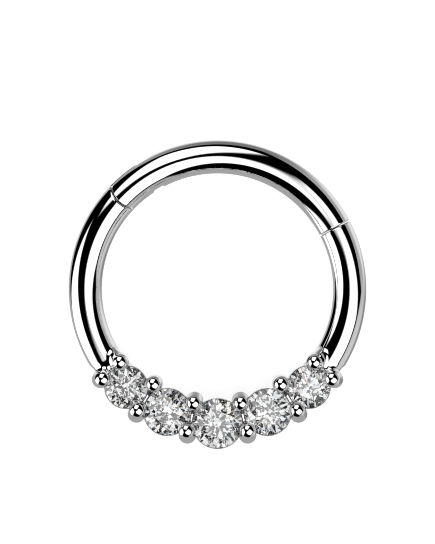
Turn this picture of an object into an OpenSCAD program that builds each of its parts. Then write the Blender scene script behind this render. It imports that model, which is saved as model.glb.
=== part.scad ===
// Hinged ring of round wire with five claw-set round brilliants.
// Origin at the centre of the ring, on the wire's mid-plane. The ring lies on its back:
// +Z is the side that the stones face, +Y points from the stones to the plain top of the hoop.

/* [Hoop] */
// Diameter of the round wire
wire_d = 1.2; // [1.1:0.05:1.3]
// Inner diameter of the closed hoop
inner_d = 8.3; // [8:0.1:9]
// Angle of the seam where the hinged segment closes, counter-clockwise from +X
seam_angle = 27.5; // [20:0.5:35]
// Gap left at the closed seam
seam_gap = 0.03; // [0.02:0.005:0.05]
// Bevel broken round both faces of the seam
seam_bevel = 0.035; // [0.02:0.005:0.06]

/* [Hinge] */
// Angle of the hinge pin, counter-clockwise from +X
pin_angle = 128.3; // [125:0.1:132]
// Diameter of the hinge pin
pin_d = 0.4; // [0.3:0.02:0.44]
// Radial play of the pin in the fixed tongue
pin_seat_play = 0.01; // [0.01:0.005:0.02]
// Radial play of the pin in the hinged segment
pin_run_play = 0.015; // [0.01:0.005:0.03]
// Height of the pin's front end above the wire's mid-plane, inside the nose
pin_front_z = 0.42; // [0.38:0.02:0.46]
// Gap between the pin's front end and the bottom of its blind hole
pin_end_gap = 0.03; // [0.02:0.005:0.04]
// Radius of the segment's round nose, about the pin
nose_r = 0.82; // [0.78:0.01:0.86]
// Radius of the fixed tongue's round end, about the pin
tongue_r = 0.71; // [0.66:0.01:0.74]
// Height of the plane where nose and tongue lap, above the wire's mid-plane
lap_z = 0.2; // [0.1:0.02:0.24]
// Running gap between nose and tongue, and between the nose and its pocket
hinge_gap = 0.03; // [0.02:0.005:0.04]
// Angle of the shoulder where the segment has its full section again
shoulder_angle = 117.6; // [116:0.2:118.4]

/* [Catch] */
// Radius of the catch's dome
catch_r = 0.3; // [0.25:0.01:0.34]
// Half the angle that the dome spans, seen from its own centre
catch_half_angle = 45; // [38:1:48]
// Clearance of the dome in its dimple
catch_gap = 0.03; // [0.02:0.005:0.04]

/* [Stones] */
// Diameter of the centre stone
centre_d = 1.75; // [1.65:0.05:1.75]
// Diameter of the stones beside it
mid_d = 1.65; // [1.55:0.05:1.65]
// Diameter of the end stones
end_d = 1.5; // [1.4:0.05:1.5]
// Angle from the centre stone to the stones beside it
mid_angle = 22.2; // [22:0.1:23]
// Angle from the centre stone to the end stones
end_angle = 43; // [42.8:0.1:44]
// Distance from the ring's centre to the centre stone
centre_row_r = 4.8; // [4.75:0.01:4.82]
// Distance from the ring's centre to the stones beside it
mid_row_r = 4.74; // [4.72:0.01:4.8]
// Distance from the ring's centre to the end stones
end_row_r = 4.78; // [4.75:0.01:4.82]
// Table width, as a share of the stone's diameter
table_share = 0.55; // [0.5:0.01:0.6]
// Crown angle of the brilliant cut
crown_angle = 34.5; // [32:0.5:36]
// Pavilion angle of the brilliant cut
pavilion_angle = 40.75; // [40:0.25:42]
// Distance of the star facets' outer corners from the axis, as a share of the stone's radius
star_share = 0.72; // [0.7:0.01:0.76]
// Distance of the lower halves' inner corners from the axis, as a share of the stone's radius
lower_share = 0.22; // [0.18:0.01:0.28]
// Thickness of the girdle where it is thickest
girdle_t = 0.04; // [0.035:0.005:0.06]
// Height of the girdle's lower edge above the wire's mid-plane
girdle_z = 0.6; // [0.56:0.02:0.64]

/* [Setting] */
// Wall of a cup's rim outside its stone
rim_wall = 0.045; // [0.03:0.005:0.05]
// Height of a cup's rim above the wire's mid-plane
rim_z = 0.56; // [0.5:0.02:0.58]
// Side play between stone and metal
stone_play = 0.015; // [0.01:0.005:0.02]
// Gap under the stone in its seat
seat_gap = 0.02; // [0.01:0.005:0.03]
// Gap between the crown and the claws that reach over it
claw_gap = 0.02; // [0.01:0.005:0.03]
// Bore behind a stone, as a share of the stone's diameter
bore_share = 0.52; // [0.4:0.02:0.6]
// Height of the flat back below the wire's mid-plane
back_z = 0.62; // [0.61:0.01:0.66]
// Height of the rail's upper face below the wire's mid-plane
rail_top_z = 0.1; // [0:0.02:0.2]
// Width of the rail at its back
rail_back_w = 0.92; // [0.8:0.02:1]
// Width of the rail at its upper face
rail_top_w = 1.24; // [1.22:0.02:1.3]
// Angle from the centre stone to either end of the rail
rail_half_angle = 56; // [54.5:0.5:58]

/* [Claws] */
// Radius of a claw's bead
bead_r = 0.31; // [0.28:0.01:0.32]
// Height of a bead's centre above the wire's mid-plane
bead_z = 0.65; // [0.63:0.01:0.67]
// Radius of a claw's shoulder, below the bead
shoulder_r = 0.32; // [0.29:0.01:0.33]
// Height of the shoulder above the wire's mid-plane
shoulder_z = 0.42; // [0.38:0.02:0.46]
// Radius of a claw at its foot
foot_r = 0.2; // [0.16:0.01:0.24]
// Height of the foot below the wire's mid-plane
foot_z = 0.45; // [0.4:0.02:0.5]

/* [Hidden] */
$fn = 96;

wire_r = wire_d / 2;
mean_r = inner_d / 2 + wire_r;
pin_r = pin_d / 2;
// Half the seam's gap, as an angle on the wire's centreline
seam_half_gap = asin(seam_gap / 2 / mean_r);
// Margin by which a cutting shape passes the metal that it cuts
over = 0.3;
// The pin's back end lies where its edge meets the wire's round back
pin_back_z = -sqrt(wire_r * wire_r - pin_r * pin_r);
// Angle from the centre stone at which the arms end, under the end stones' edges
arm_end_angle = 48.5;
// How far a cup's cone runs into the rail
cup_root = 0.1;
// Step from a claw's post to its slightly wider shoulder
post_step = 0.01;
// How far the tongue's and the nose's stock runs past the pin before it is rounded
stock_angle = 14;
down = -90;

// Stones: angle from the bottom of the ring, distance from the ring's centre, diameter
ANGLE = 0;
ROW_R = 1;
STONE_D = 2;
LEFT_END = [-end_angle, end_row_r, end_d];
LEFT_MID = [-mid_angle, mid_row_r, mid_d];
CENTRE = [0, centre_row_r, centre_d];
RIGHT_MID = [mid_angle, mid_row_r, mid_d];
RIGHT_END = [end_angle, end_row_r, end_d];
STONES = [LEFT_END, LEFT_MID, CENTRE, RIGHT_MID, RIGHT_END];

// Claws of one side: angle from the bottom, then the distance from the ring's centre
// of the bead, the shoulder and the foot
BEAD_R = 1;
SHOULDER_R = 2;
FOOT_R = 3;
CLAWS = [
    [11.7, 4.15, 4.06, 4.38],
    [12.0, 5.17, 5.32, 5.12],
    [33.9, 4.09, 4.06, 4.38],
    [33.2, 5.18, 5.32, 5.12],
    [53.6, 4.34, 4.35, 4.45],
    [52.1, 5.2, 5.28, 5.05],
];

// Brilliant cut: eight main facets, and every girdle arc between two corners in four steps
MAINS = 8;
ARC_STEPS = 4;
main_step = 360 / MAINS;
half_step = main_step / 2;
GIRDLE_POINTS = 2 * MAINS * ARC_STEPS;
girdle_step = 360 / GIRDLE_POINTS;

// Places a child on the ring at an angle and a distance from its centre
module on_ring(angle, radius, z = 0) {
    rotate([0, 0, angle]) translate([radius, 0, z]) children();
}

// Round wire bent along the hoop's centreline between two angles
module wire_arc(from, to) {
    rotate([0, 0, from])
        rotate_extrude(angle = to - from)
            translate([mean_r, 0]) circle(r = wire_r);
}

// Block round the wire between two angles and two heights
module wire_block(from, to, low, high) {
    rotate([0, 0, from])
        rotate_extrude(angle = to - from)
            translate([mean_r - wire_r - over, low]) square([wire_d + 2 * over, high - low]);
}

// What is cut off a wire's end on one side of the pin to leave it round about the pin
module round_end_cutter(from, to, radius) {
    difference() {
        wire_block(from, to, -wire_r - over, wire_r + over);
        on_ring(pin_angle, mean_r) cylinder(r = radius, h = 3 * wire_d, center = true);
    }
}

// Ring of space that bevels a wire's end: the end face is at the origin, the wire lies on -Z
module bevel_cutter() {
    difference() {
        translate([0, 0, -2 * seam_bevel]) cylinder(r = wire_r + over, h = 2 * seam_bevel + over);
        translate([0, 0, -over])
            cylinder(r1 = wire_r - seam_bevel + over, r2 = wire_r - seam_bevel - over, h = 2 * over);
    }
}

// Puts a wire end's shapes at an angle, facing up the hoop (side 1) or down it (side -1)
module at_wire_end(angle, side) {
    on_ring(angle, mean_r) rotate([-90 * side, 0, 0]) children();
}

// Profile of a stone's round envelope with the given play: side, below and above
function stone_profile(d, side, below, above) =
    let (
        r = d / 2,
        pavilion = r * tan(pavilion_angle),
        table_r = r * table_share,
        crown = (r - table_r) * tan(crown_angle)
    )
    [
        [0, girdle_z - pavilion - below],
        [r + side, girdle_z - below + side * tan(pavilion_angle)],
        [r + side, girdle_z + girdle_t + above],
        [table_r, girdle_z + girdle_t + crown + above],
        [0, girdle_z + girdle_t + crown + above],
    ];

// Space that a stone needs in the metal, with the bore behind it
module stone_space(stone) {
    on_ring(down + stone[ANGLE], stone[ROW_R]) {
        rotate_extrude() polygon(stone_profile(stone[STONE_D], stone_play, seat_gap, claw_gap));
        translate([0, 0, -back_z - over])
            cylinder(r = stone[STONE_D] / 2 * bore_share, h = back_z + over + girdle_z - seat_gap);
    }
}

// Conical cup that carries one stone
module cup(stone) {
    rim_r = stone[STONE_D] / 2 + rim_wall;
    foot = rail_top_w / 2 * stone[STONE_D] / centre_d;
    depth = rail_top_z + rim_z + cup_root;
    on_ring(down + stone[ANGLE], stone[ROW_R], rim_z - depth)
        cylinder(r1 = foot, r2 = rim_r, h = depth);
}

// Curved rail with bevelled sides that carries the cups and is flat at the back
module rail() {
    side = (rail_top_w - rail_back_w) / 2;
    rotate([0, 0, down - rail_half_angle])
        rotate_extrude(angle = 2 * rail_half_angle)
            translate([mean_r, 0])
                polygon([
                    [-rail_back_w / 2, -back_z],
                    [rail_back_w / 2, -back_z],
                    [rail_top_w / 2, -back_z + side],
                    [rail_top_w / 2, -rail_top_z],
                    [-rail_top_w / 2, -rail_top_z],
                    [-rail_top_w / 2, -back_z + side],
                ]);
}

// One claw: a tapered post that leans off the foot, its round shoulder and its bead
module claw(angle, row) {
    foot = [row[FOOT_R], 0, -foot_z];
    top = [row[SHOULDER_R], 0, shoulder_z];
    lean = atan2(top[0] - foot[0], top[2] - foot[2]);
    rotate([0, 0, angle]) {
        translate(foot) rotate([0, lean, 0]) {
            cylinder(r1 = foot_r, r2 = shoulder_r - post_step, h = norm(top - foot));
            translate([0, 0, norm(top - foot)]) sphere(r = shoulder_r);
        }
        translate([row[BEAD_R], 0, bead_z]) sphere(r = bead_r);
    }
}

module claws() {
    for (row = CLAWS, side = [-1, 1])
        claw(down + side * row[ANGLE], row);
}

// The two plain arms of the hoop, from the hinge to the left end stone and from the right one to the seam
module arms() {
    wire_arc(pin_angle - stock_angle, 360 + down - arm_end_angle);
    wire_arc(down + arm_end_angle, seam_angle - seam_half_gap);
}

// Round end of the tongue, pocket of the segment's nose, bore of the pin,
// and the dimple and bevel of the seam
module arm_cuts() {
    round_end_cutter(pin_angle - 2 * stock_angle, pin_angle, tongue_r);
    on_ring(pin_angle, mean_r, lap_z - hinge_gap / 2)
        cylinder(r = nose_r + hinge_gap, h = wire_d);
    on_ring(pin_angle, mean_r)
        cylinder(r = pin_r + pin_seat_play, h = 2 * wire_d, center = true);
    at_wire_end(seam_angle - seam_half_gap, 1) {
        translate([0, 0, seam_gap + catch_r * cos(catch_half_angle)])
            sphere(r = catch_r + catch_gap);
        bevel_cutter();
    }
}

// The whole fixed part: arms, rail, cups and claws soldered into one
module ring_body() {
    color("silver")
        difference() {
            union() {
                arms();
                rail();
                for (stone = STONES)
                    cup(stone);
                claws();
            }
            arm_cuts();
            for (stone = STONES)
                stone_space(stone);
        }
}

// The segment that swings open, with its nose at the hinge and its dome at the seam
module hinged_segment() {
    color("gainsboro") {
        difference() {
            wire_arc(seam_angle + seam_half_gap, pin_angle + stock_angle);
            wire_block(
                shoulder_angle, pin_angle + 2 * stock_angle,
                -wire_r - over, lap_z + hinge_gap / 2
            );
            round_end_cutter(pin_angle, pin_angle + 2 * stock_angle, nose_r);
            on_ring(pin_angle, mean_r)
                cylinder(r = pin_r + pin_run_play, h = pin_front_z + pin_end_gap);
            at_wire_end(seam_angle + seam_half_gap, -1) bevel_cutter();
        }
        intersection() {
            at_wire_end(seam_angle + seam_half_gap, -1)
                translate([0, 0, -catch_r * cos(catch_half_angle)]) sphere(r = catch_r);
            at_wire_end(seam_angle + seam_half_gap, -1)
                translate([0, 0, -catch_r / 2]) cylinder(r = catch_r, h = catch_r);
        }
    }
}

module hinge_pin() {
    color("darkgray")
        on_ring(pin_angle, mean_r, pin_back_z) cylinder(r = pin_r, h = pin_front_z - pin_back_z);
}

// A point at an angle, a distance from the stone's axis and a height
function polar(angle, r, z) = [r * cos(angle), r * sin(angle), z];

// Height on the main facet at angle 0, at a distance from the axis and an angle beside the facet's middle
function main_rise(r, at, beside, slope) = (r - at * cos(beside)) * tan(slope);

// Height above or below the girdle on a half facet, on the girdle's circle:
// the facet's plane holds both girdle corners and the inner corner
function half_rise(r, inner_r, inner_rise, beside) =
    let (
        chord = r * cos(half_step / 2),
        inner = inner_r * cos(half_step / 2)
    )
    inner_rise * (chord - r * cos(beside)) / (chord - inner);

// One round brilliant, its girdle's circle centred on the axis.
// Its points run girdle top, girdle bottom, table, star corners, pavilion corners, culet.
module brilliant(d) {
    r = d / 2;
    table_r = r * table_share;
    star_r = r * star_share;
    lower_r = r * lower_share;
    top_z = girdle_z + girdle_t;
    star_rise = main_rise(r, star_r, half_step, crown_angle);
    lower_drop = main_rise(r, lower_r, half_step, pavilion_angle);
    n = GIRDLE_POINTS;
    beside = [for (i = [0:n - 1]) (i % ARC_STEPS) * girdle_step - half_step / 2];
    points = concat(
        [for (i = [0:n - 1])
            polar(i * girdle_step, r, top_z + half_rise(r, star_r, star_rise, beside[i]))],
        [for (i = [0:n - 1])
            polar(i * girdle_step, r, girdle_z - half_rise(r, lower_r, lower_drop, beside[i]))],
        [for (k = [0:MAINS - 1])
            polar(k * main_step, table_r, top_z + main_rise(r, table_r, 0, crown_angle))],
        [for (k = [0:MAINS - 1]) polar((k + 0.5) * main_step, star_r, top_z + star_rise)],
        [for (k = [0:MAINS - 1]) polar((k + 0.5) * main_step, lower_r, girdle_z - lower_drop)],
        [[0, 0, girdle_z - main_rise(r, 0, 0, pavilion_angle)]]
    );
    table = 2 * n;
    star = table + MAINS;
    lower = star + MAINS;
    culet = lower + MAINS;
    per_main = 2 * ARC_STEPS;
    faces = concat(
        [[for (k = [MAINS - 1:-1:0]) table + k]],
        [for (k = [0:MAINS - 1]) [star + k, table + k, table + (k + 1) % MAINS]],
        [for (k = [0:MAINS - 1])
            [table + k, star + k, k * per_main, star + (k + MAINS - 1) % MAINS]],
        [for (k = [0:MAINS - 1], side = [0, 1])
            concat(
                [star + k],
                [for (i = [ARC_STEPS:-1:0]) (k * per_main + side * ARC_STEPS + i) % n]
            )],
        [for (i = [0:n - 1]) [i, (i + 1) % n, n + (i + 1) % n, n + i]],
        [for (k = [0:MAINS - 1])
            [culet, lower + (k + MAINS - 1) % MAINS, n + k * per_main, lower + k]],
        [for (k = [0:MAINS - 1], side = [0, 1])
            concat(
                [lower + k],
                [for (i = [0:ARC_STEPS]) n + (k * per_main + side * ARC_STEPS + i) % n]
            )]
    );
    polyhedron(points, faces);
}

module set_stone(stone) {
    color("lightcyan")
        on_ring(down + stone[ANGLE], stone[ROW_R]) brilliant(stone[STONE_D]);
}

module stone_left_end() {
    set_stone(LEFT_END);
}

module stone_left_mid() {
    set_stone(LEFT_MID);
}

module stone_centre() {
    set_stone(CENTRE);
}

module stone_right_mid() {
    set_stone(RIGHT_MID);
}

module stone_right_end() {
    set_stone(RIGHT_END);
}

ring_body();
hinged_segment();
hinge_pin();
stone_left_end();
stone_left_mid();
stone_centre();
stone_right_mid();
stone_right_end();
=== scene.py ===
"""Looks of a hinged ring of round steel wire with five claw-set brilliants, lying on its back."""

import math

import bmesh
import bpy
import numpy as np
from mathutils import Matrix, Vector


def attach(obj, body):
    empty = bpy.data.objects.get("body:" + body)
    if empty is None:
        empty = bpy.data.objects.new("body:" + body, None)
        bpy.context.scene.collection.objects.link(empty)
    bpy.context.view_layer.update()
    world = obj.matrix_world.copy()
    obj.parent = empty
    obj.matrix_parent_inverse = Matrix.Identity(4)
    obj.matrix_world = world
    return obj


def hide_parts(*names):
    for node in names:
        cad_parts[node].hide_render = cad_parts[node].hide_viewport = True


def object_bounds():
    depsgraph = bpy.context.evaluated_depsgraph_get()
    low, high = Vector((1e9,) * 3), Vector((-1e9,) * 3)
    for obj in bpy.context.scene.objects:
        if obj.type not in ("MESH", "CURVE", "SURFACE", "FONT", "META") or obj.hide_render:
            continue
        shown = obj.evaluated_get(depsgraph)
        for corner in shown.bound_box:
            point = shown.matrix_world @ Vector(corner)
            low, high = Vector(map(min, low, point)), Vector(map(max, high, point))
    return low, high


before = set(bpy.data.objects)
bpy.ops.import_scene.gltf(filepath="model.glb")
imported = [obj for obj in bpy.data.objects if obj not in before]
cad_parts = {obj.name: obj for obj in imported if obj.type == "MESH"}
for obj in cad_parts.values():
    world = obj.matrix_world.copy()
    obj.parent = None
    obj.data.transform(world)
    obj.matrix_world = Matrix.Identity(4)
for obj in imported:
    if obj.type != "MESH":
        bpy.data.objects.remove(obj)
CAD_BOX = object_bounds()

MM = 0.001
WHITE = (1, 1, 1, 1)

# The hoop, in millimetres, as in the construction
WIRE_R = 0.6
MEAN_R = 4.75
SEAM_ANGLE = 27.5
SEAM_GAP = 0.03
SEAM_BEVEL = 0.06
PIN_ANGLE = 128.3
PIN_R = 0.2
PIN_SEAT_PLAY = 0.01
PIN_RUN_PLAY = 0.015
PIN_FRONT_Z = 0.42
PIN_END_GAP = 0.03
NOSE_R = 0.82
TONGUE_R = 0.71
LAP_Z = 0.2
HINGE_GAP = 0.03
SHOULDER_ANGLE = 117.6
CATCH_R = 0.3
CATCH_HALF_ANGLE = 45
CATCH_GAP = 0.03
# Width of the crisp foot round the catch's dome or dimple
CATCH_FOOT = 0.012

# The setting, in millimetres
GIRDLE_Z = 0.6
GIRDLE_T = 0.04
CROWN_ANGLE = 34.5
PAVILION_ANGLE = 40.75
TABLE_SHARE = 0.55
RIM_WALL = 0.045
RIM_Z = 0.56
# Depth of the bevel on a rim's outer edge, and width and depth of the one on its inner edge
RIM_BEVEL = 0.08
RIM_LIP = (0.006, 0.004)
STONE_PLAY = 0.015
# Room above a stone's crown, and below its girdle
CROWN_ROOM = 0.02
GIRDLE_ROOM = 0.04
BORE_SHARE = 0.52
# Where a bore ends below the girdle, and the depth over which it flares at the back
BORE_TOP_DROP = 0.1
BORE_FLARE = 0.05
BACK_Z = 0.62
RAIL_TOP_Z = 0.1
RAIL_BACK_W = 0.92
RAIL_TOP_W = 1.24
RAIL_HALF_ANGLE = 56
BEAD_R = 0.31
BEAD_Z = 0.65
SHOULDER_R = 0.32
SHOULDER_Z = 0.42
FOOT_R = 0.2
FOOT_Z = 0.45
# Where the arms are cut, level with the outer end claws, and the radius of the cut's edge
CUT_Y = -2.84
CUT_EDGE = 0.12
# Their lower core: angle where its domed end begins, radius and height
CORE_ANGLE = 54.0
CORE_R = 0.5
CORE_Z = -0.1
# What joins the end claws to the wire: angle from the bottom, distance from the ring's centre,
# height and radius where it leaves the wire, then its radius and its drop under the bead
PRONGS = ((57.3, 4.43, 0.34, 0.27), (54.4, 4.93, 0.36, 0.20))
PRONG_R = 0.27
PRONG_DROP = 0.03
# The low bridge between the end claws
BRIDGE_ANGLE = 54.2
BRIDGE_SPAN = (4.6, 5.05)
BRIDGE_R = 0.25
BRIDGE_Z = 0.2
CUP_FOOT_Z = 0.2
CUP_ROOT_Z = 0.3
# How far behind a cup's inner wall the soldered claws and rail are cut back
CUP_SKIN = 0.015

# Stones: node, angle from the bottom of the ring, distance from its centre, diameter
STONES = (
    ("stone_left_end", -43.0, 4.78, 1.50),
    ("stone_left_mid", -22.2, 4.74, 1.65),
    ("stone_centre", 0.0, 4.80, 1.75),
    ("stone_right_mid", 22.2, 4.74, 1.65),
    ("stone_right_end", 43.0, 4.78, 1.50),
)
STONE_SIZES = [d for *_, d in STONES]
# Direction of the ring's bottom, from which those angles are counted
DOWN = -90

# Claws of one side: the post's angle from the bottom, the bead's angle and its distance from the
# ring's centre, then that distance for the shoulder and for the foot. The last two hold the end stone
CLAWS = (
    (11.7, (11.7, 4.15), 4.06, 4.38),
    (11.7, (12.2, 5.17), 5.32, 5.12),
    (33.9, (33.9, 4.09), 4.06, 4.38),
    (33.0, (33.4, 5.18), 5.32, 5.12),
    (54.0, (53.1, 4.34), 4.35, 4.45),
    (52.3, (51.9, 5.20), 5.28, 5.05),
)
END_CLAWS = CLAWS[-2:]

# Finish of the metal, in millimetres: radius of solder fillets, of polished edges and of crisp ones
SOLDER = 0.10
END_BLEND = 0.25
BEAD_BLEND = 0.05
SOFT_EDGE = 0.05
CRISP_EDGE = 0.02
SEAM_EDGE = 0.10
# Edge radii of a cup's outline, from its root round to the foot of its bore
CUP_EDGES = (0.01, 0.008, 0.002, 0.001, 0.02, 0.01)
# Angle from the bottom where the setting's mesh ends and the plain arms begin
JOIN_ANGLE = 62.0
# Ring angles where the hinge's meshes end and the plain sweeps begin
BODY_HINGE_END = 142.0
NOSE_HINGE_END = 108.0
# The spaces that hold the setting and the hinge's two ends, each from its low to its high corner
SETTING_SPACE = ((-5.2, -(MEAN_R + 1.1), -BACK_Z - 0.08), (5.2, -1.6, BEAD_Z + BEAD_R + 0.08))
FIXED_HINGE_SPACE = ((-4.7, 2.1, -WIRE_R - 0.06), (-1.95, 4.75, WIRE_R + 0.06))
MOVING_HINGE_SPACE = ((-3.9, 2.8, -WIRE_R - 0.06), (-0.9, 5.4, WIRE_R + 0.06))
# Mesh steps, in millimetres and degrees, and points round a section or steps along a curve
SETTING_STEP = 0.034
HINGE_STEP = 0.022
SWEEP_STEP = 1.0
SECTION_POINTS = 72
LATHE_POINTS = 96
BEVEL_STEPS = 4
CATCH_STEPS = 8
# How often a point is moved onto its surface, and the least slope that such a move is worked out from
SETTLE_PASSES = 4
LEAST_SLOPE = 0.05


# Distance fields: each takes an (n, 3) array in millimetres and is negative inside


def smooth_min(a, b, k):
    """The union of two solids, with a fillet where they meet."""
    h = np.maximum(k - np.abs(a - b), 0) / k
    return np.minimum(a, b) - h * h * k / 4


def smooth_max(a, b, k):
    """What two solids share, with a rounded edge."""
    return -smooth_min(-a, -b, k)


def polar_point(angle, radius, z=0.0):
    a = math.radians(angle)
    return np.array([radius * math.cos(a), radius * math.sin(a), z])


def ring_angle(p):
    """Angle round the ring, counter-clockwise from the bottom, in -180 to 180 degrees."""
    return np.degrees(np.arctan2(p[:, 0], -p[:, 1]))


def torus(p):
    return np.hypot(np.hypot(p[:, 0], p[:, 1]) - MEAN_R, p[:, 2]) - WIRE_R


def ball(p, centre, radius):
    return np.linalg.norm(p - centre, axis=1) - radius


def round_cone(p, a, b, ra, rb):
    """Two balls and the cone that wraps them."""
    ba = b - a
    l2 = ba @ ba
    rr = ra - rb
    a2 = l2 - rr * rr
    pa = p - a
    y = pa @ ba
    z = y - l2
    across = pa * l2 - np.outer(y, ba)
    x2 = np.einsum("ij,ij->i", across, across)
    y2 = y * y * l2
    z2 = z * z * l2
    k = math.copysign(rr * rr, rr) * x2
    cone = (np.sqrt(x2 * a2 / l2) + y * rr) / l2 - ra
    near_b = np.sign(z) * a2 * z2 > k
    near_a = np.sign(y) * a2 * y2 < k
    cone = np.where(near_b, np.sqrt(x2 + z2) / l2 - rb, cone)
    return np.where(near_a & ~near_b, np.sqrt(x2 + y2) / l2 - ra, cone)


def from_pin(p):
    """Distance from the pin's axis, and distance along the wire past the pin, towards the segment."""
    pin = polar_point(PIN_ANGLE, MEAN_R)
    d = p - pin
    a = math.radians(PIN_ANGLE)
    return np.hypot(d[:, 0], d[:, 1]), d[:, 0] * math.sin(a) - d[:, 1] * math.cos(a)


def fixed_hinge(p):
    """The body's end at the hinge: a round tongue behind, and a pocket for the nose in front."""
    d, ahead = from_pin(p)
    f = smooth_max(torus(p), np.minimum(d - TONGUE_R, ahead), CRISP_EDGE)
    pocket = np.maximum(LAP_Z - HINGE_GAP / 2 - p[:, 2], d - NOSE_R - HINGE_GAP)
    f = smooth_max(f, -pocket, SEAM_EDGE)
    return smooth_max(f, PIN_R + PIN_SEAT_PLAY - d, CRISP_EDGE / 2)


def moving_hinge(p):
    """The segment's end at the hinge: a round nose in front, and a straight shoulder behind."""
    d, ahead = from_pin(p)
    f = smooth_max(torus(p), np.minimum(d - NOSE_R, -ahead), CRISP_EDGE)
    shoulder = MEAN_R * (math.radians(SHOULDER_ANGLE) - np.arctan2(p[:, 1], p[:, 0]))
    f = smooth_max(f, -np.maximum(p[:, 2] - LAP_Z - HINGE_GAP / 2, shoulder), CRISP_EDGE)
    hole = np.maximum(d - PIN_R - PIN_RUN_PLAY, p[:, 2] - PIN_FRONT_Z - PIN_END_GAP)
    return smooth_max(f, -hole, CRISP_EDGE / 2)


def rail(p):
    """The curved rail under the cups, flat at the back."""
    r = np.hypot(p[:, 0], p[:, 1])
    across = np.abs(r - MEAN_R)
    f = smooth_max(-BACK_Z - p[:, 2], p[:, 2] + RAIL_TOP_Z, SOFT_EDGE)
    f = smooth_max(f, across - RAIL_TOP_W / 2, SOFT_EDGE)
    f = smooth_max(f, (across - RAIL_BACK_W / 2 - BACK_Z - p[:, 2]) / math.sqrt(2), SOFT_EDGE)
    beyond = r * np.radians(np.abs(ring_angle(p)) - RAIL_HALF_ANGLE)
    return smooth_max(f, beyond, SOFT_EDGE)


def wire_ends(p):
    """The last stretch of both arms: a level cut over a lower core that runs on into the rail."""
    ends = None
    for side in (-1, 1):
        end = smooth_max(torus(p), CUT_Y - p[:, 1], CUT_EDGE)
        core = ball(p, polar_point(DOWN + side * CORE_ANGLE, MEAN_R, CORE_Z), CORE_R)
        low = np.hypot(np.hypot(p[:, 0], p[:, 1]) - MEAN_R, p[:, 2] - CORE_Z) - CORE_R
        core = np.where(side * ring_angle(p) > CORE_ANGLE, low, core)
        end = smooth_min(end, core, SOLDER)
        ends = end if ends is None else np.minimum(ends, end)
    return ends


def claw(p, side, angle, bead, shoulder_r, foot_r):
    """A claw: a tapered post that leans off its foot, and a bead that reaches over the stones."""
    turn = DOWN + side * angle
    foot = polar_point(turn, foot_r, -FOOT_Z)
    shoulder = polar_point(turn, shoulder_r, SHOULDER_Z)
    post = round_cone(p, foot, shoulder, FOOT_R, SHOULDER_R)
    tip = polar_point(DOWN + side * bead[0], bead[1], BEAD_Z)
    return np.minimum(post, round_cone(p, shoulder, tip, SHOULDER_R, BEAD_R))


def stone_space(p, angle, row_r, d):
    """Room for a stone, for the inside of its cup and for the flared bore behind it."""
    centre = polar_point(DOWN + angle, row_r)
    r = np.hypot(p[:, 0] - centre[0], p[:, 1] - centre[1])
    z = p[:, 2]
    edge = d / 2 + STONE_PLAY + CUP_SKIN
    crown, pavilion = math.radians(CROWN_ANGLE), math.radians(PAVILION_ANGLE)
    table_z = GIRDLE_Z + GIRDLE_T + d / 2 * (1 - TABLE_SHARE) * math.tan(crown)
    f = np.maximum(r - edge, z - table_z - CROWN_ROOM)
    over = (z - GIRDLE_Z - GIRDLE_T - CROWN_ROOM) * math.cos(crown) + (r - d / 2) * math.sin(crown)
    under = (GIRDLE_Z - GIRDLE_ROOM - z) * math.cos(pavilion) + (r - edge) * math.sin(pavilion)
    f = np.maximum(np.maximum(f, over), under)
    bore = d / 2 * BORE_SHARE + CUP_SKIN
    flare = np.maximum(0, -z - BACK_Z + BORE_FLARE)
    return np.minimum(f, np.maximum(r - bore - flare, z - GIRDLE_Z + BORE_TOP_DROP))


def setting(p):
    """Rail, wire ends and claws, soldered together, with the stones' places cut out."""
    f = smooth_min(rail(p), wire_ends(p), SOLDER)
    heads = None
    for side in (-1, 1):
        bridge = [polar_point(DOWN + side * BRIDGE_ANGLE, r, BRIDGE_Z) for r in BRIDGE_SPAN]
        f = smooth_min(f, round_cone(p, *bridge, BRIDGE_R, BRIDGE_R), END_BLEND)
        for row in CLAWS:
            head = claw(p, side, *row)
            heads = head if heads is None else np.minimum(heads, head)
        for (_, bead, _, _), (angle, r, z, root_r) in zip(END_CLAWS, PRONGS):
            tip = polar_point(DOWN + side * bead[0], bead[1], BEAD_Z - PRONG_DROP)
            root = polar_point(DOWN + side * angle, r, z)
            heads = smooth_min(heads, round_cone(p, root, tip, root_r, PRONG_R), BEAD_BLEND)
    f = smooth_min(f, heads, SOLDER)
    f = smooth_max(f, -p[:, 2] - BACK_Z, CRISP_EDGE)
    for _, angle, row_r, d in STONES:
        f = smooth_max(f, -stone_space(p, angle, row_r, d), CRISP_EDGE)
    return f


# Meshes


def in_chunks(field, p, size=400_000):
    """A field's values, worked out for a limited number of points at a time."""
    return np.concatenate([field(p[i : i + size]) for i in range(0, len(p), size)])


def gradient(field, p, h=0.002):
    """A field's slope at each point, by central differences."""
    g = np.empty_like(p)
    for axis in range(3):
        step = np.zeros(3)
        step[axis] = h
        g[:, axis] = in_chunks(field, p + step) - in_chunks(field, p - step)
    return g / (2 * h)


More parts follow.
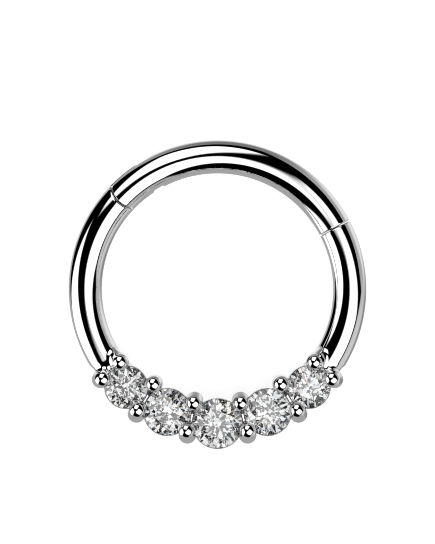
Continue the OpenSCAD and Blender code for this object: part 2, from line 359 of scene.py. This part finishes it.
def surface_net(field, low, high, step):
    """Vertices and quads of a field's zero surface, one vertex in each grid cell that it crosses."""
    low = np.asarray(low, float)
    n = np.ceil((np.asarray(high) - low) / step).astype(int) + 1
    axes = [low[i] + step * np.arange(n[i]) for i in range(3)]
    grid = np.stack(np.meshgrid(*axes, indexing="ij"), axis=-1).reshape(-1, 3)
    values = in_chunks(field, grid).reshape(n)
    total = np.zeros((*n, 3))
    count = np.zeros(n)
    crossings = []
    for axis in range(3):
        u, v = [i for i in range(3) if i != axis]
        a = np.take(values, range(n[axis] - 1), axis)
        b = np.take(values, range(1, n[axis]), axis)
        at = np.argwhere((a < 0) != (b < 0))
        fa, fb = a[tuple(at.T)], b[tuple(at.T)]
        place = at.astype(float)
        place[:, axis] += fa / (fa - fb)
        for du in (0, 1):
            for dv in (0, 1):
                cell = at.copy()
                cell[:, u] -= du
                cell[:, v] -= dv
                ok = (cell >= 0).all(axis=1)
                np.add.at(total, tuple(cell[ok].T), place[ok])
                np.add.at(count, tuple(cell[ok].T), 1)
        inner = (at[:, u] > 0) & (at[:, v] > 0) & (at[:, u] < n[u] - 1) & (at[:, v] < n[v] - 1)
        crossings.append((axis, u, v, at[inner], fa[inner] < 0))
    number = np.full(n, -1)
    cells = np.argwhere(count > 0)
    number[tuple(cells.T)] = np.arange(len(cells))
    points = low + step * total[tuple(cells.T)] / count[tuple(cells.T)][:, None]
    quads = []
    for axis, u, v, at, leaving in crossings:
        corners = []
        for du, dv in ((0, 0), (1, 0), (1, 1), (0, 1)):
            cell = at.copy()
            cell[:, u] -= du
            cell[:, v] -= dv
            corners.append(number[tuple(cell.T)])
        quad = np.stack(corners, axis=1)
        # Across the middle axis the corners above run the other way round
        turn = leaving if axis != 1 else ~leaving
        quads.append(np.where(turn[:, None], quad, quad[:, ::-1]))
    return points, np.concatenate(quads)


def settle(field, points, reach):
    """Moves points onto the field's zero surface."""
    start = points.copy()
    for _ in range(SETTLE_PASSES):
        g = gradient(field, points)
        f = in_chunks(field, points)
        points = points - (f / np.maximum((g * g).sum(axis=1), LEAST_SLOPE))[:, None] * g
        moved = points - start
        far = np.maximum(np.linalg.norm(moved, axis=1) / reach, 1)
        points = start + moved / far[:, None]
    return points


def clipped(points, faces, angle, keep):
    """The part of a mesh on one side of the ring's radial plane at an angle, its cut closed."""
    mesh = bpy.data.meshes.new("clip")
    mesh.from_pydata(points.tolist(), [], [list(f) for f in faces])
    bm = bmesh.new()
    bm.from_mesh(mesh)
    normal = polar_point(angle + 90, 1)
    cut = bmesh.ops.bisect_plane(
        bm,
        geom=bm.verts[:] + bm.edges[:] + bm.faces[:],
        plane_co=(0, 0, 0),
        plane_no=normal * keep,
        clear_inner=True,
    )
    rim = [e for e in cut["geom_cut"] if isinstance(e, bmesh.types.BMEdge)]
    bmesh.ops.holes_fill(bm, edges=rim)
    bm.verts.index_update()
    points = np.array([v.co[:] for v in bm.verts])
    faces = [[v.index for v in f.verts] for f in bm.faces]
    bm.free()
    bpy.data.meshes.remove(mesh)
    return points, faces


def carved(field, space, step, cuts):
    """A shell of a field's zero surface, cut off at some ring angles: points, faces and normals."""
    points, faces = surface_net(field, *space, step)
    points = settle(field, points, step)
    for angle, keep in cuts:
        points, faces = clipped(points, faces, angle, keep)
    normals = gradient(field, points)
    normals /= np.maximum(np.linalg.norm(normals, axis=1), 1e-9)[:, None]
    return points, [list(f) for f in faces], normals


def band_faces(near, far, columns):
    """Quads between two rows of points that each go once round, given their first points' numbers."""
    pairs = [(c, (c + 1) % columns) for c in range(columns)]
    return [[near + c, near + following, far + following, far + c] for c, following in pairs]


def grid_faces(rows, columns):
    """Quads between all the rows of a mesh, each row going once round."""
    return [
        face
        for row in range(rows - 1)
        for face in band_faces(row * columns, (row + 1) * columns, columns)
    ]


def end_profile(dome):
    """Rings of a wire's end at the seam, with the catch's dome or with its dimple.

    Each ring is its distance beyond the end's face, its radius and the tilt of its normal.
    """
    rings = []
    for i in range(BEVEL_STEPS + 1):
        t = math.radians(90 * i / BEVEL_STEPS)
        beyond = -SEAM_BEVEL * (1 - math.sin(t))
        rings.append((beyond, WIRE_R - SEAM_BEVEL * (1 - math.cos(t)), math.degrees(t)))
    radius = CATCH_R if dome else CATCH_R + CATCH_GAP
    back = CATCH_R * math.cos(math.radians(CATCH_HALF_ANGLE)) + (0 if dome else SEAM_GAP)
    spread = math.acos(back / radius)
    foot = radius * math.sin(spread)
    outward = 1 if dome else -1
    rings.append((0.0, foot + CATCH_FOOT, 90.0))
    rings.append((0.0, foot, 90.0))
    for i in range(CATCH_STEPS):
        t = spread * (1 - i / CATCH_STEPS)
        rise = radius * math.cos(t) - back
        rings.append((rise * outward, radius * math.sin(t), 90.0 - math.degrees(t) * outward))
    rings.append(((radius - back) * outward, 0.0, 90.0))
    return rings


def sweep(start, end, capped_start=None, capped_end=None):
    """Round wire along the hoop between two angles; a cap is the rings of a seam's end, or none."""
    turn = np.linspace(0, 2 * math.pi, SECTION_POINTS, endpoint=False)
    count = max(2, int(round(abs(end - start) / SWEEP_STEP)) + 1)
    short = math.degrees(SEAM_BEVEL / MEAN_R)
    first = start + (short if capped_start else 0)
    last = end - (short if capped_end else 0)

    def section(angle, beyond, radius, tilt, sign):
        out, along = polar_point(angle, 1), polar_point(angle + 90, 1) * sign
        centre = polar_point(angle, MEAN_R) + along * beyond
        ring = np.outer(np.cos(turn), out) + np.outer(np.sin(turn), [0, 0, 1])
        t = math.radians(tilt)
        return centre + ring * radius, ring * math.cos(t) + along * math.sin(t)

    sections = []
    if capped_start:
        for beyond, radius, tilt in reversed(capped_start[1:]):
            sections.append(section(start, beyond, radius, tilt, -1))
    for angle in np.linspace(first, last, count):
        sections.append(section(angle, 0, WIRE_R, 0, 1))
    if capped_end:
        for beyond, radius, tilt in capped_end[1:]:
            sections.append(section(end, beyond, radius, tilt, 1))
    points = np.concatenate([s[0] for s in sections])
    normals = np.concatenate([s[1] for s in sections])
    faces = [f[::-1] for f in grid_faces(len(sections), SECTION_POINTS)]
    if not capped_start:
        faces.append(list(range(SECTION_POINTS)))
    if not capped_end:
        faces.append(list(range(len(points) - SECTION_POINTS, len(points)))[::-1])
    return points, faces, normals


def rounded(corners, radii):
    """A closed outline with its corners rounded: its points and outward normals.

    The outline goes round with its material on the left.
    """
    corners = np.asarray(corners, float)
    points, normals = [], []
    for i, radius in enumerate(radii):
        into = corners[i] - corners[i - 1]
        out = corners[(i + 1) % len(corners)] - corners[i]
        into /= np.linalg.norm(into)
        out /= np.linalg.norm(out)
        turn = math.atan2(into[0] * out[1] - into[1] * out[0], into @ out)
        side = 1 if turn > 0 else -1
        first = corners[i] - into * radius * math.tan(abs(turn) / 2)
        normal = np.array([into[1], -into[0]])
        centre = first - side * normal * radius
        for step in range(BEVEL_STEPS + 1):
            a = turn * step / BEVEL_STEPS
            x = normal[0] * math.cos(a) - normal[1] * math.sin(a)
            y = normal[0] * math.sin(a) + normal[1] * math.cos(a)
            points.append(centre + side * np.array([x, y]) * radius)
            normals.append((x, y))
    return points, normals


def lathe(outline, centre):
    """A closed outline of (radius, height) turned about a vertical axis."""
    turn = np.linspace(0, 2 * math.pi, LATHE_POINTS, endpoint=False)

    def ring(out, up, middle=(0, 0)):
        x = middle[0] + out * np.cos(turn)
        y = middle[1] + out * np.sin(turn)
        return np.stack([x, y, np.full(LATHE_POINTS, up)], 1)

    points = [ring(r, z, centre) for r, z in outline[0]]
    normals = [ring(out, up) for out, up in outline[1]]
    last = (len(points) - 1) * LATHE_POINTS
    faces = grid_faces(len(points), LATHE_POINTS) + band_faces(last, 0, LATHE_POINTS)
    return np.concatenate(points), faces, np.concatenate(normals)


def cup(angle, row_r, d):
    """A conical cup under a stone, open behind."""
    slope = math.tan(math.radians(PAVILION_ANGLE))
    lip = d / 2 + STONE_PLAY
    bore = d / 2 * BORE_SHARE
    seat_z = RIM_Z - (lip - bore) * slope
    foot = RAIL_TOP_W / 2 * d / max(STONE_SIZES)
    grow = (d / 2 + RIM_WALL - foot) / (RIM_Z + CUP_FOOT_Z)
    root = foot - grow * (CUP_ROOT_Z - CUP_FOOT_Z)
    lip_w, lip_depth = RIM_LIP
    corners = (
        (root, -CUP_ROOT_Z), (d / 2 + RIM_WALL, RIM_Z - RIM_BEVEL), (lip + lip_w, RIM_Z),
        (lip, RIM_Z - lip_depth), (bore, seat_z), (bore, -CUP_ROOT_Z),
    )
    return lathe(rounded(corners, CUP_EDGES), polar_point(DOWN + angle, row_r))


def piece(name, shells, body, material, replaces):
    """One object of several shells, in metres, with its normals set from the exact surfaces."""
    points, faces, normals, first = [], [], [], 0
    for p, f, n in shells:
        points.append(p)
        normals.append(n)
        faces += [[i + first for i in face] for face in f]
        first += len(p)
    points = np.concatenate(points) * MM
    normals = np.concatenate(normals)
    mesh = bpy.data.meshes.new(name)
    mesh.from_pydata(points.tolist(), [], faces)
    mesh.polygons.foreach_set("use_smooth", np.ones(len(mesh.polygons), bool))
    mesh.update()
    mesh.normals_split_custom_set_from_vertices(normals.tolist())
    mesh.materials.append(material)
    obj = bpy.data.objects.new(name, mesh)
    bpy.context.scene.collection.objects.link(obj)
    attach(obj, body)
    for node in replaces:
        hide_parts(node)


# Materials

# Roughness and colour of the polished steel, from its clearest to its dullest places
STEEL_ROUGHNESS = (0.03, 0.055)
STEEL_TONES = ((0.775, 0.775, 0.78, 1), (0.745, 0.745, 0.75, 1))
# Clouds in its polish, in features to a metre, and how many finer layers they have
CLOUD_SCALE = 1400.0
CLOUD_DETAIL = 3.0
# The part of the clouds' noise over which the roughness changes
CLOUD_SPAN = (0.3, 0.7)
# Buffing lines, in features to a metre along each axis, and their depth in metres
BUFFING_SCALE = (2500.0, 2500.0, 30000.0)
BUFFING_DEPTH = 2e-8
# Refraction of the stones, and how much light each passing of a face keeps
STONE_IOR = 2.42
STONE_CLARITY = 0.92
# Patches of a facet's polish, in patches to a metre, and how far they lean
POLISH_SCALE = 2600.0
POLISH_LEAN = 0.003
RANGE_SOCKETS = ("From Min", "From Max", "To Min", "To Max")


def new_material(name):
    material = bpy.data.materials.new(name)
    material.use_nodes = True
    nodes = material.node_tree.nodes
    nodes.clear()
    return material, nodes, material.node_tree.links


def polished_steel():
    material, nodes, links = new_material("polished_steel")
    out = nodes.new("ShaderNodeOutputMaterial")
    shader = nodes.new("ShaderNodeBsdfPrincipled")
    shader.inputs["Metallic"].default_value = 1.0
    # The mirror polish is a little duller in soft clouds, and carries very fine buffing lines
    where = nodes.new("ShaderNodeTexCoord")
    clouds = nodes.new("ShaderNodeTexNoise")
    clouds.inputs["Scale"].default_value = CLOUD_SCALE
    clouds.inputs["Detail"].default_value = CLOUD_DETAIL
    links.new(where.outputs["Object"], clouds.inputs["Vector"])
    dull = nodes.new("ShaderNodeMapRange")
    for name, value in zip(RANGE_SOCKETS, CLOUD_SPAN + STEEL_ROUGHNESS):
        dull.inputs[name].default_value = value
    links.new(clouds.outputs[0], dull.inputs["Value"])
    links.new(dull.outputs["Result"], shader.inputs["Roughness"])
    tone = nodes.new("ShaderNodeMix")
    tone.data_type = "RGBA"
    tone.inputs["A"].default_value = STEEL_TONES[0]
    tone.inputs["B"].default_value = STEEL_TONES[1]
    links.new(clouds.outputs[0], tone.inputs["Factor"])
    links.new(tone.outputs["Result"], shader.inputs["Base Color"])
    stretch = nodes.new("ShaderNodeMapping")
    stretch.inputs["Scale"].default_value = BUFFING_SCALE
    links.new(where.outputs["Object"], stretch.inputs["Vector"])
    buffing = nodes.new("ShaderNodeTexNoise")
    buffing.inputs["Scale"].default_value = 1.0
    links.new(stretch.outputs["Vector"], buffing.inputs["Vector"])
    bump = nodes.new("ShaderNodeBump")
    bump.inputs["Strength"].default_value = 1.0
    bump.inputs["Distance"].default_value = BUFFING_DEPTH
    links.new(buffing.outputs[0], bump.inputs["Height"])
    links.new(bump.outputs["Normal"], shader.inputs["Normal"])
    links.new(shader.outputs["BSDF"], out.inputs["Surface"])
    return material


def clear_stone():
    material, nodes, links = new_material("clear_stone")
    out = nodes.new("ShaderNodeOutputMaterial")
    glass = nodes.new("ShaderNodeBsdfGlass")
    glass.inputs["IOR"].default_value = STONE_IOR
    glass.inputs["Roughness"].default_value = 0.0
    glass.inputs["Color"].default_value = (STONE_CLARITY, STONE_CLARITY, STONE_CLARITY, 1)
    # The polish differs a little from place to place, which breaks the reflections into small shards
    where = nodes.new("ShaderNodeTexCoord")
    cells = nodes.new("ShaderNodeTexVoronoi")
    cells.inputs["Scale"].default_value = POLISH_SCALE
    links.new(where.outputs["Object"], cells.inputs["Vector"])
    lean = nodes.new("ShaderNodeVectorMath")
    lean.operation = "MULTIPLY_ADD"
    links.new(cells.outputs["Color"], lean.inputs[0])
    lean.inputs[1].default_value = (POLISH_LEAN,) * 3
    lean.inputs[2].default_value = (-POLISH_LEAN / 2,) * 3
    geometry = nodes.new("ShaderNodeNewGeometry")
    tilted = nodes.new("ShaderNodeVectorMath")
    tilted.operation = "ADD"
    links.new(geometry.outputs["Normal"], tilted.inputs[0])
    links.new(lean.outputs[0], tilted.inputs[1])
    unit = nodes.new("ShaderNodeVectorMath")
    unit.operation = "NORMALIZE"
    links.new(tilted.outputs[0], unit.inputs[0])
    links.new(unit.outputs[0], glass.inputs["Normal"])
    links.new(glass.outputs["BSDF"], out.inputs["Surface"])
    return material


# Studio

# Outlines in the studio: direction round the horizon, then angle from overhead, in degrees.
# Each is convex and runs anticlockwise as seen from outside the studio's dome
SOFTBOXES = (
    # the large one overhead, in two convex parts that overlap
    (
        (0, 55), (20, 41.5), (54, 29.2), (227, 31.7), (240, 37), (260, 43),
        (285, 57), (295, 65), (331, 65.5), (348, 65.4),
    ),
    ((146, 2), (205, 16), (213, 25.5), (225, 31), (240, 37), (281, 27)),
    # the one beyond the hinge
    (
        (90, 76), (111, 86), (126, 72.5), (144, 58), (150, 47), (140, 32),
        (128, 22), (114, 16.5), (102, 16.5), (90, 23), (80, 33), (72, 49), (67, 71),
    ),
    # the one at the left, reaching below the horizon
    (
        (151, 73), (165, 91), (183, 111), (195, 122), (215, 118), (228, 93),
        (220, 69), (213, 54), (206, 46), (195, 44.5), (185, 46.5), (172, 51.5), (160, 60),
    ),
)
# Where the pale surroundings rise above the horizon, and the dark cloths that cover them
PALE_STRIPS = (
    ((283, 97), (10, 97), (5, 77), (350, 74), (345, 68), (330, 62), (300, 64), (296, 72), (288, 86)),
    ((350, 97), (72, 97), (66, 88), (52, 80), (36, 75.5), (5, 77)),
)
DARK_CLOTHS = (
    ((60, 82), (96, 94), (118, 99), (150, 104), (150, 80), (60, 60)),
    ((118, 98), (146, 125), (165, 128), (182, 124), (188, 116), (188, 80), (118, 80)),
)
SOFTBOX_LIGHT = 1.7
# Half the width of a soft outline in degrees, and where a softbox's begins and ends, in such
# halves. It begins nearer to the outline than it ends, since a mirror clips most of it to white
SOFT_HALF_WIDTH = 3.0
SOFTBOX_RAMP = (-0.4, 1.6)
# The surroundings below: their upper edge, as a sine, where neither of those changes it, and
# their brightness
HORIZON = -0.08
LOW_LIGHT = 0.47
# Lighter and darker patches of the surroundings: direction, angle from overhead, radius, change
LOW_PATCHES = (
    (85, 108, 42, -0.5), (95, 160, 40, 1.1), (26, 122, 30, 1.1),
    (347, 135, 22, -0.35), (335, 98, 34, 0.6),
)

# What the stones see: cells to a unit of direction, the cells' warmest and coolest colours, how
# much of their colour the dark and the bright ones keep, the tones at which dark ends and bright
# begins, and how brightness is shared out
SPARKLE_SCALE = 60.0
SPARKLE_WARM = (1.0, 0.72, 0.44, 1)
SPARKLE_COOL = (0.36, 0.68, 1.0, 1)
SPARKLE_TINT = (1.0, 0.28)
TINTED_TONES = (0.1, 0.9)
SPARKLE_TONES = ((0.0, 0.02), (0.46, 0.07), (0.50, 0.3), (0.54, 1.0), (1.0, 2.1))
# The ring of lamps that the main facets under the table show as a star: angles from overhead,
# softness in degrees, brightness, and the part of the cells' noise over which that grows
STAR_LAMPS = (42.5, 47.5)
STAR_SOFTNESS = 1
STAR_LIGHT = (1.2, 2.2)
STAR_SPAN = (0.0, 0.4)


def direction(azimuth, from_zenith):
    z = math.radians(from_zenith)
    a = math.radians(azimuth)
    return Vector((math.sin(z) * math.cos(a), math.sin(z) * math.sin(a), math.cos(z)))


class NodeTree:
    """Short calls that add nodes to a tree and link them."""

    def __init__(self, tree):
        self.nodes = tree.nodes
        self.links = tree.links
        self.nodes.clear()

    def feed(self, socket, value):
        """Links another node's output to a socket, or sets a plain number or colour on it."""
        if isinstance(value, bpy.types.NodeSocket):
            self.links.new(value, socket)
        else:
            socket.default_value = value

    def math(self, kind, *values):
        node = self.nodes.new("ShaderNodeMath")
        node.operation = kind
        for socket, value in zip(node.inputs, values):
            self.feed(socket, value)
        return node.outputs[0]

    def dot(self, vector, axis):
        node = self.nodes.new("ShaderNodeVectorMath")
        node.operation = "DOT_PRODUCT"
        self.links.new(vector, node.inputs[0])
        node.inputs[1].default_value = axis
        return node.outputs["Value"]

    def ramp(self, value, low, high, out_low=0.0, out_high=1.0):
        """A smooth step: one level where a value is low, the other where it is high."""
        node = self.nodes.new("ShaderNodeMapRange")
        node.interpolation_type = "SMOOTHSTEP"
        for name, number in zip(RANGE_SOCKETS, (low, high, out_low, out_high)):
            self.feed(node.inputs[name], number)
        self.links.new(value, node.inputs["Value"])
        return node.outputs["Result"]

    def blend(self, factor, first, second):
        """A mix of two colours."""
        node = self.nodes.new("ShaderNodeMix")
        node.data_type = "RGBA"
        self.links.new(factor, node.inputs["Factor"])
        self.feed(node.inputs["A"], first)
        self.feed(node.inputs["B"], second)
        return node.outputs["Result"]

    def inside(self, vector, corners):
        """How far inside a convex outline a direction is, as a sine."""
        depth = None
        for start, end in zip(corners, corners[1:] + corners[:1]):
            edge = self.dot(vector, direction(*start).cross(direction(*end)).normalized())
            depth = edge if depth is None else self.math("MINIMUM", depth, edge)
        return depth


def surroundings(tree, where, height):
    """What the metal sees in a direction: softboxes over a dark room with a paler lower part."""
    soft = math.sin(math.radians(SOFT_HALF_WIDTH))
    below = tree.math("SUBTRACT", HORIZON, height)
    for corners in PALE_STRIPS:
        below = tree.math("MAXIMUM", below, tree.inside(where, corners))
    for corners in DARK_CLOTHS:
        below = tree.math("MINIMUM", below, tree.math("MULTIPLY", tree.inside(where, corners), -1.0))
    grey = LOW_LIGHT
    for azimuth, from_zenith, radius, change in LOW_PATCHES:
        aim = tree.dot(where, direction(azimuth, from_zenith))
        patch = tree.ramp(aim, math.cos(math.radians(radius)), 1.0, 1.0, 1.0 + change)
        grey = tree.math("MULTIPLY", grey, patch)
    level = tree.ramp(below, -soft, soft, 0.0, grey)
    lit = None
    for corners in SOFTBOXES:
        depth = tree.inside(where, corners)
        lit = depth if lit is None else tree.math("MAXIMUM", lit, depth)
    first, last = SOFTBOX_RAMP
    return tree.ramp(lit, first * soft, last * soft, level, SOFTBOX_LIGHT)


def stone_lamps(tree, where, height):
    """What the stones see: many small lamps and gaps, which give each facet a tone of its own."""
    cells = tree.nodes.new("ShaderNodeTexVoronoi")
    cells.inputs["Scale"].default_value = SPARKLE_SCALE
    tree.links.new(where, cells.inputs["Vector"])
    split = tree.nodes.new("ShaderNodeSeparateColor")
    tree.links.new(cells.outputs["Color"], split.inputs[0])
    lightness, colour, star_light = split.outputs
    tones = tree.nodes.new("ShaderNodeValToRGB")
    while len(tones.color_ramp.elements) < len(SPARKLE_TONES):
        tones.color_ramp.elements.new(0.5)
    for element, (place, tone) in zip(tones.color_ramp.elements, SPARKLE_TONES):
        element.position = place
        element.color = (tone, tone, tone, 1)
    tree.links.new(lightness, tones.inputs["Fac"])
    inner, outer = (math.cos(math.radians(a)) for a in STAR_LAMPS)
    soft = math.radians(STAR_SOFTNESS)
    ring = tree.math(
        "MULTIPLY",
        tree.ramp(height, outer - soft, outer + soft),
        tree.ramp(height, inner - soft, inner + soft, 1.0, 0.0),
    )
    star = tree.math("MULTIPLY", ring, tree.ramp(star_light, *STAR_SPAN, *STAR_LIGHT))
    tone = tree.math("MAXIMUM", tones.outputs["Color"], star)
    hue = tree.blend(colour, SPARKLE_WARM, SPARKLE_COOL)
    pale = tree.blend(tree.ramp(tone, *TINTED_TONES, *SPARKLE_TINT), WHITE, hue)
    tinted = tree.nodes.new("ShaderNodeVectorMath")
    tinted.operation = "SCALE"
    tree.links.new(pale, tinted.inputs[0])
    tree.links.new(tone, tinted.inputs["Scale"])
    return tinted.outputs[0]


def build_world():
    world = bpy.data.worlds.new("studio")
    bpy.context.scene.world = world
    world.use_nodes = True
    tree = NodeTree(world.node_tree)
    out = tree.nodes.new("ShaderNodeOutputWorld")
    light = tree.nodes.new("ShaderNodeBackground")
    backdrop = tree.nodes.new("ShaderNodeBackground")
    mix = tree.nodes.new("ShaderNodeMixShader")
    path = tree.nodes.new("ShaderNodeLightPath")
    where = tree.nodes.new("ShaderNodeTexCoord").outputs["Generated"]
    height = tree.dot(where, (0, 0, 1))
    through = tree.math("MINIMUM", path.outputs["Transmission Depth"], 1.0)
    seen = tree.blend(through, surroundings(tree, where, height), stone_lamps(tree, where, height))
    tree.links.new(seen, light.inputs["Color"])
    backdrop.inputs["Color"].default_value = WHITE
    tree.links.new(path.outputs["Is Camera Ray"], mix.inputs["Fac"])
    tree.links.new(light.outputs[0], mix.inputs[1])
    tree.links.new(backdrop.outputs[0], mix.inputs[2])
    tree.links.new(mix.outputs[0], out.inputs["Surface"])


# The floor is a sheet of white glass lit from below, with a little light on it from above. Only
# the camera sees it, and the ring mirrors the studio through it
FLOOR_GLOW = 0.75
FLOOR_GREY = 0.45
# Half its side, in metres
FLOOR_REACH = 0.4


def build_floor():
    mesh = bpy.data.meshes.new("floor")
    z = CAD_BOX[0][2]
    corners = [(x * FLOOR_REACH, y * FLOOR_REACH, z) for x, y in ((-1, -1), (1, -1), (1, 1), (-1, 1))]
    mesh.from_pydata(corners, [], [[0, 1, 2, 3]])
    material, nodes, links = new_material("floor")
    out = nodes.new("ShaderNodeOutputMaterial")
    mix = nodes.new("ShaderNodeMixShader")
    path = nodes.new("ShaderNodeLightPath")
    clear = nodes.new("ShaderNodeBsdfTransparent")
    shader = nodes.new("ShaderNodeAddShader")
    glow = nodes.new("ShaderNodeEmission")
    glow.inputs["Color"].default_value = WHITE
    glow.inputs["Strength"].default_value = FLOOR_GLOW
    paper = nodes.new("ShaderNodeBsdfDiffuse")
    paper.inputs["Color"].default_value = (FLOOR_GREY, FLOOR_GREY, FLOOR_GREY, 1)
    links.new(glow.outputs[0], shader.inputs[0])
    links.new(paper.outputs[0], shader.inputs[1])
    links.new(path.outputs["Is Camera Ray"], mix.inputs["Fac"])
    links.new(clear.outputs[0], mix.inputs[1])
    links.new(shader.outputs[0], mix.inputs[2])
    links.new(mix.outputs[0], out.inputs["Surface"])
    mesh.materials.append(material)
    floor = bpy.data.objects.new("floor", mesh)
    bpy.context.scene.collection.objects.link(floor)


# The photo's frame in millimetres: its height at the wire's mid-plane, and how far its middle lies
# above the ring's centre. Then the focal length and the height of the sensor
FRAME_H = 19.55
FRAME_MIDDLE_Y = 0.611
LENS = 165.0
SENSOR = 36.0
# Nearest and farthest distance that the camera sees, in metres
CLIP = (0.001, 10)


def build_camera():
    data = bpy.data.cameras.new("camera")
    data.lens = LENS
    data.sensor_width = SENSOR
    data.clip_start, data.clip_end = CLIP
    camera = bpy.data.objects.new("camera", data)
    camera.location = (0, FRAME_MIDDLE_Y * MM, FRAME_H * LENS / SENSOR * MM)
    bpy.context.scene.collection.objects.link(camera)
    bpy.context.scene.camera = camera


def build_metal(steel):
    cuts = ((DOWN - JOIN_ANGLE, 1), (DOWN + JOIN_ANGLE, -1))
    shells = [carved(setting, SETTING_SPACE, SETTING_STEP, cuts)]
    piece("claw_setting", shells, "body", steel, ["ring_body"])
    shells = [cup(angle, row_r, d) for _, angle, row_r, d in STONES]
    piece("stone_cups", shells, "body", steel, ["ring_body"])

    half_gap = math.degrees(SEAM_GAP / 2 / MEAN_R)
    shells = [
        carved(fixed_hinge, FIXED_HINGE_SPACE, HINGE_STEP, ((BODY_HINGE_END, -1),)),
        sweep(BODY_HINGE_END, DOWN + 360 - JOIN_ANGLE),
        sweep(DOWN + JOIN_ANGLE, SEAM_ANGLE - half_gap, capped_end=end_profile(False)),
    ]
    piece("hoop_arms", shells, "body", steel, ["ring_body"])
    shells = [
        sweep(SEAM_ANGLE + half_gap, NOSE_HINGE_END, capped_start=end_profile(True)),
        carved(moving_hinge, MOVING_HINGE_SPACE, HINGE_STEP, ((NOSE_HINGE_END, 1),)),
    ]
    piece("hoop_segment", shells, "segment", steel, ["hinged_segment"])


def refinish(node, material):
    """Gives a node of the frame, which keeps its own shape, another material."""
    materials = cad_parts[node].data.materials
    materials.clear()
    materials.append(material)


# How often light may bounce in all or pass through stones, and how often off the metal. Then the
# width of the pixel filter in pixels, narrow enough for edges as crisp as the photo's
BOUNCES = 24
METAL_BOUNCES = 20
PIXEL_FILTER = 1.0


def set_picture():
    scene = bpy.context.scene
    scene.view_settings.view_transform = "Standard"
    scene.cycles.filter_width = PIXEL_FILTER
    scene.cycles.max_bounces = BOUNCES
    scene.cycles.glossy_bounces = METAL_BOUNCES
    scene.cycles.transmission_bounces = BOUNCES


build_camera()
build_world()
build_floor()
steel = polished_steel()
build_metal(steel)
refinish("hinge_pin", steel)
stone = clear_stone()
for node, *_ in STONES:
    refinish(node, stone)
set_picture()
